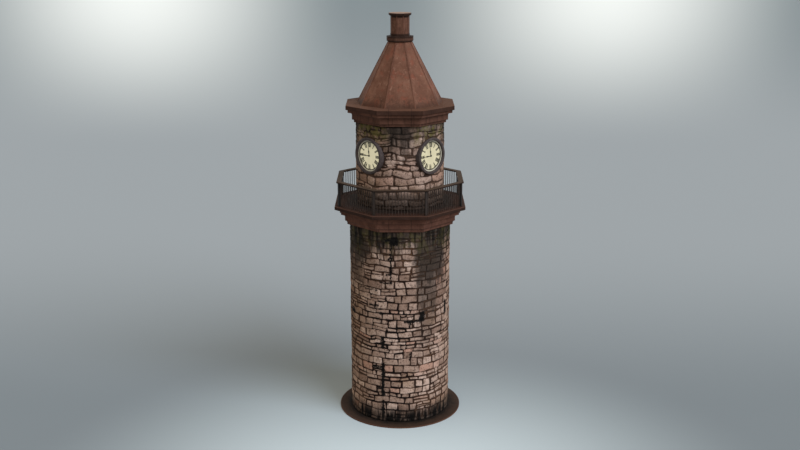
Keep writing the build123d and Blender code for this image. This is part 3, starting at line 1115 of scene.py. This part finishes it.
def add_roll(shape, length, radius, wing, fold, place):
    """Adds a roll of the length at the place, which is a matrix. Fold is the wings' slope."""
    rod = bmesh.ops.create_circle(shape, cap_ends=True, segments=8, radius=radius)["verts"]
    faces = list(dict.fromkeys(face for vert in rod for face in vert.link_faces))
    drawn = bmesh.ops.extrude_face_region(shape, geom=faces)["geom"]
    top = [item for item in drawn if isinstance(item, bmesh.types.BMVert)]
    bmesh.ops.translate(shape, verts=top, vec=(0, 0, length))
    moved = rod + top
    for side in (-1, 1):
        bar = bmesh.ops.create_cube(shape, size=1)["verts"]
        bmesh.ops.scale(shape, verts=bar, vec=(sheet, wing, length))
        bmesh.ops.translate(shape, verts=bar, vec=(wing_lift, side * wing / 2, length / 2))
        slope = Matrix.Rotation(side * fold, 4, "Z")
        bmesh.ops.transform(shape, verts=bar, matrix=slope)
        moved += bar
    bmesh.ops.transform(shape, verts=moved, matrix=place)


# %% One roll at each corner of the spire and of the finial's drum
def add_rolls(name, reach, foot, lean, *roll):
    """Foot is the height of the rolls' feet. Roll gives their length, radius, wing and fold."""
    shape = bmesh.new()
    for angle in corner_angles:
        turn = Matrix.Rotation(math.radians(angle), 4, "Z")
        shift = Matrix.Translation((reach, 0, foot))
        add_roll(shape, *roll, turn @ shift @ Matrix.Rotation(-lean, 4, "Y"))
    add_piece(name, shape, hip_sheet, "tower")


hip_run = (foot_reach - head_reach, roof_high.z - roof_low.z)
hip = (math.hypot(*hip_run), 0.014, 0.030, math.radians(18))
add_rolls("roof_hips", foot_reach, roof_low.z, math.atan2(*hip_run), *hip)
drum_foot, corner_sink = 0.11, 0.004
corner = (drum_high.z - drum_low.z - drum_foot, 0.012, 0.020, math.radians(20))
add_rolls("drum_corners", drum_reach - corner_sink, drum_low.z + drum_foot, 0, *corner)

# %% [markdown]
# ## Clock faces
# Each dial is a plate of milky glass with a painted glow, which stands for light from behind and
# makes all four equally bright.
# The numerals stand with their feet towards the middle, as on most public clocks, with IIII for
# four, and sixty minute strokes run round them between two rings. All are thin raised shapes that
# catch the light at their edges, drawn flat, with x to the right and y up, then placed on a dial.

# %% The dials' material: cream glass and a pale bezel with a painted glow, and painted shadow of the rim
track_inner, track_outer = 0.598, 0.640
bezel_inner = 0.641


def dial_material():
    material, place = start_material("dial_glass")
    point = split(place)
    aside = abs(point.x) - abs(point.y)
    up = point.z - dial_height
    away = flat_length(aside * math.sqrt(0.5), up)
    clouds = speckle(place, 4, 5, 0.6)
    specks = speckle(place, 38, 4, 0.7)
    # Darker towards the top of the dial's edge, under the rim.
    darker_under_rim = rise(away, 0.54, 0.66) * rise(up, -0.1, 0.6)
    on_bezel = rise(away, bezel_inner, bezel_inner + 0.003)
    colour = coated(
        tint(118, 112, 92),
        (rise(clouds, 0.35, 0.7), tint(134, 128, 108)),
        (rise(specks, 0.56, 0.75) * 0.35, tint(92, 84, 64)),
        (darker_under_rim * 0.8, tint(70, 61, 45)),
        (band(away, track_inner, track_outer, 0.002) * 0.8, tint(62, 58, 42)),
        (on_bezel, tint(196, 190, 174)),
    )
    # Painted glow: the glass inside the track and the bezel glow, though no lamp is behind them.
    painted_glow = coated(
        tint(0, 0, 0),
        (on_bezel, tint(74, 72, 64)),
        (rise(away, track_inner + 0.002, track_inner - 0.002), tint(187, 180, 150)),
        # Painted shadow of the rim: the glow fades towards the top.
        (rise(up, 0.25, 0.62) * 0.55, tint(0, 0, 0)),
    )
    return end_material(material, colour, scaled(clouds, 0.2, 0.3), specks, 0.001, painted_glow, 0.4)


finish_nodes(dial_material(), "dials")

# %% The black of the numerals and the hands, and the iron of the rims
def black_material(name, main, worn, rough_from):
    material, place = start_material(name)
    patches = speckle(place, 14, 5, 0.6)
    colour = coated(main, (rise(patches, 0.5, 0.75), worn))
    rough = scaled(patches, 0.25, rough_from)
    return end_material(material, colour, rough, patches, 0.001, shine=0.4)


numeral_black = black_material("numeral_black", tint(20, 20, 15), tint(44, 42, 32), 0.4)
hand_black = black_material("hand_black", tint(8, 8, 7), tint(22, 21, 18), 0.35)
rim_iron = iron_material("clock_rim_iron", tint(58, 50, 50), tint(78, 69, 67), 0.35)
finish_nodes(hand_black, "hour_hand", "minute_hand")
finish_nodes(rim_iron, "clock_rims")

# %% One stroke of a numeral
stroke_lift = 0.003


def add_stroke(shape, start, end, width):
    """A thin bar on the dial from start to end."""
    bar = bmesh.ops.create_cube(shape, size=1)["verts"]
    run = Vector((end[0] - start[0], end[1] - start[1], 0))
    bmesh.ops.scale(shape, verts=bar, vec=(width, run.length, stroke_lift))
    turn = Matrix.Rotation(math.atan2(-run.x, run.y), 4, "Z")
    middle = Vector(((start[0] + end[0]) / 2, (start[1] + end[1]) / 2, stroke_lift / 2))
    bmesh.ops.transform(shape, verts=bar, matrix=Matrix.Translation(middle) @ turn)
    return bar


# %% Letters from strokes: I, V and X between two heights, with small serifs
numeral_foot, numeral_head = 0.392, 0.588
thick, thin, serif = 0.031, 0.018, 0.012
thick_inset, thin_inset, serif_inset = 0.018, 0.014, 0.002
letter_widths = {"I": 0.041, "V": 0.088, "X": 0.088}


def add_letter(shape, letter, left):
    width = letter_widths[letter]
    right = left + width
    middle = (left + right) / 2
    low, high = numeral_foot, numeral_head
    bars = []
    if letter == "I":
        bars += add_stroke(shape, (middle, low), (middle, high), thick)
    if letter == "V":
        bars += add_stroke(shape, (left + thick_inset, high), (middle, low), thick)
        bars += add_stroke(shape, (right - thin_inset, high), (middle, low), thin)
    if letter == "X":
        from_left, from_right = left + thick_inset, right - thick_inset
        bars += add_stroke(shape, (from_left, high), (from_right, low), thick)
        bars += add_stroke(shape, (from_right, high), (from_left, low), thin)
    for level in (high,) if letter == "V" else (high, low):
        ends = (left + serif_inset, level), (right - serif_inset, level)
        bars += add_stroke(shape, *ends, serif)
    return bars


# %% One ring round the dial
def add_ring(shape, outer, width):
    """A flat ring, as thick as a stroke."""
    disc = bmesh.ops.create_circle(shape, cap_ends=True, segments=96, radius=outer)["verts"]
    face = disc[0].link_faces[0]
    bmesh.ops.inset_region(shape, faces=[face], thickness=width)
    ring = [other for edge in face.edges for other in edge.link_faces if other is not face]
    bmesh.ops.delete(shape, geom=[face], context="FACES_ONLY")
    drawn = bmesh.ops.extrude_face_region(shape, geom=list(dict.fromkeys(ring)))["geom"]
    raised = [item for item in drawn if isinstance(item, bmesh.types.BMVert)]
    bmesh.ops.translate(shape, verts=raised, vec=(0, 0, stroke_lift))


# %% Twelve numerals, and sixty minute strokes between two rings, on one flat dial
hour_words = ["I", "II", "III", "IIII", "V", "VI", "VII", "VIII", "IX", "X", "XI", "XII"]
tick_foot, tick_head = 0.606, 0.633
hour_tick, minute_tick = 0.034, 0.022
rings = ((0.608, 0.009), (0.639, 0.008))


def draw_dial():
    shape = bmesh.new()
    for hour, word in enumerate(hour_words, start=1):
        total = sum(letter_widths[letter] for letter in word)
        left = -total / 2
        bars = []
        for letter in word:
            bars += add_letter(shape, letter, left)
            left += letter_widths[letter]
        turn = Matrix.Rotation(-math.radians(30 * hour), 4, "Z")
        bmesh.ops.transform(shape, verts=bars, matrix=turn)
    for minute in range(60):
        width = minute_tick if minute % 5 else hour_tick
        tick = add_stroke(shape, (0, tick_foot), (0, tick_head), width)
        turn = Matrix.Rotation(math.radians(6 * minute), 4, "Z")
        bmesh.ops.transform(shape, verts=tick, matrix=turn)
    for outer, width in rings:
        add_ring(shape, outer, width)
    return shape


# %% Place them on the four dials
dial_plane = 1.900
for name, angle in dial_angles.items():
    outward = Vector((math.cos(math.radians(angle)), math.sin(math.radians(angle)), 0))
    rightward = Vector((-outward.y, outward.x, 0))
    upward = Vector((0, 0, 1))
    seat = Matrix((rightward, upward, outward)).transposed().to_4x4()
    seat.translation = outward * dial_plane + upward * dial_height
    numerals = draw_dial()
    bmesh.ops.transform(numerals, verts=numerals.verts[:], matrix=seat)
    add_piece(f"numerals_{name}", numerals, numeral_black, "tower")

# %% [markdown]
# ## Floor and light
# The floor is a wide plane in a cool pale grey, which takes the tower's soft shadow. A pool of
# light is painted round the foot and two far behind, like a studio sweep under two lamps. A broad
# sun lamp and an even sky give soft light, in which a colour comes out about as it is written.

# %% The floor
pool_bearings = (-0.24, 0.19)
floor_half = 900


def floor_material():
    material, place = start_material("studio_floor")
    point = split(place)
    sockets = {0: place, 1: (0, -9, 0)}
    from_foot = work_out(place.tree, "VectorMath", sockets, "Value", operation="DISTANCE")
    from_camera = calculate("MAXIMUM", point.y + camera_distance, 1)
    bearing = point.x / from_camera
    dip = calculate("DIVIDE", camera_height, from_camera)
    far = rise(dip, 0.20, 0.05)
    # Painted light: two pools far behind, at the given bearings.
    asides = [abs(bearing - middle) for middle in pool_bearings]
    painted_pools = [rise(aside, 0.20, 0) * far for aside in asides]
    colour = coated(
        tint(126, 136, 144),
        (rise(dip, 0.47, 0.28), tint(155, 164, 172)),
        (far, tint(128, 140, 147)),
        # Painted pool of light round the foot.
        (rise(from_foot, 17, 1), tint(206, 222, 231)),
        (strongest(*painted_pools), tint(244, 252, 255)),
    )
    return end_material(material, colour, 0.9)


floor_shape = bmesh.new()
bmesh.ops.create_grid(floor_shape, x_segments=8, y_segments=8, size=floor_half)
floor_data = bpy.data.meshes.new("floor")
floor_shape.to_mesh(floor_data)
floor_shape.free()
floor_data.materials.append(floor_material())
floor = show("floor", floor_data)
print("floor is", 2 * floor_half, "m wide")

# %% The sun lamp
sun_data = bpy.data.lights.new("window_light", "SUN")
sun_data.energy = 2.40
sun_data.angle = math.radians(40)
sun_data.color = (0.85, 0.91, 1)
sun = show("window_light", sun_data)
sun_from = Vector((0.60, -0.55, 0.62))
sun.rotation_euler = sun_from.to_track_quat("Z", "Y").to_euler()
print("sun lamp:", sun_data.energy)

# %% The sky: warm light on the tower, and a pale grey where it is seen
world = bpy.data.worlds.new("studio")
scene.world = world
world.use_nodes = True
sky = world.node_tree
sky.nodes.clear()
rays = add_node(sky, "LightPath").outputs
seen = strongest(*(Value(rays[f"Is {kind} Ray"]) for kind in ("Camera", "Glossy", "Transmission")))
lit, shown = (
    work_out(sky, "Background", {"Color": colour, "Strength": strength})
    for colour, strength in (((1, 0.89, 0.73, 1), 0.64), (tint(226, 234, 236), 1))
)
sky_colour = work_out(sky, "MixShader", {0: seen, 1: lit, 2: shown})
add_node(sky, "OutputWorld", {"Surface": sky_colour})
print("sky nodes:", len(sky.nodes))
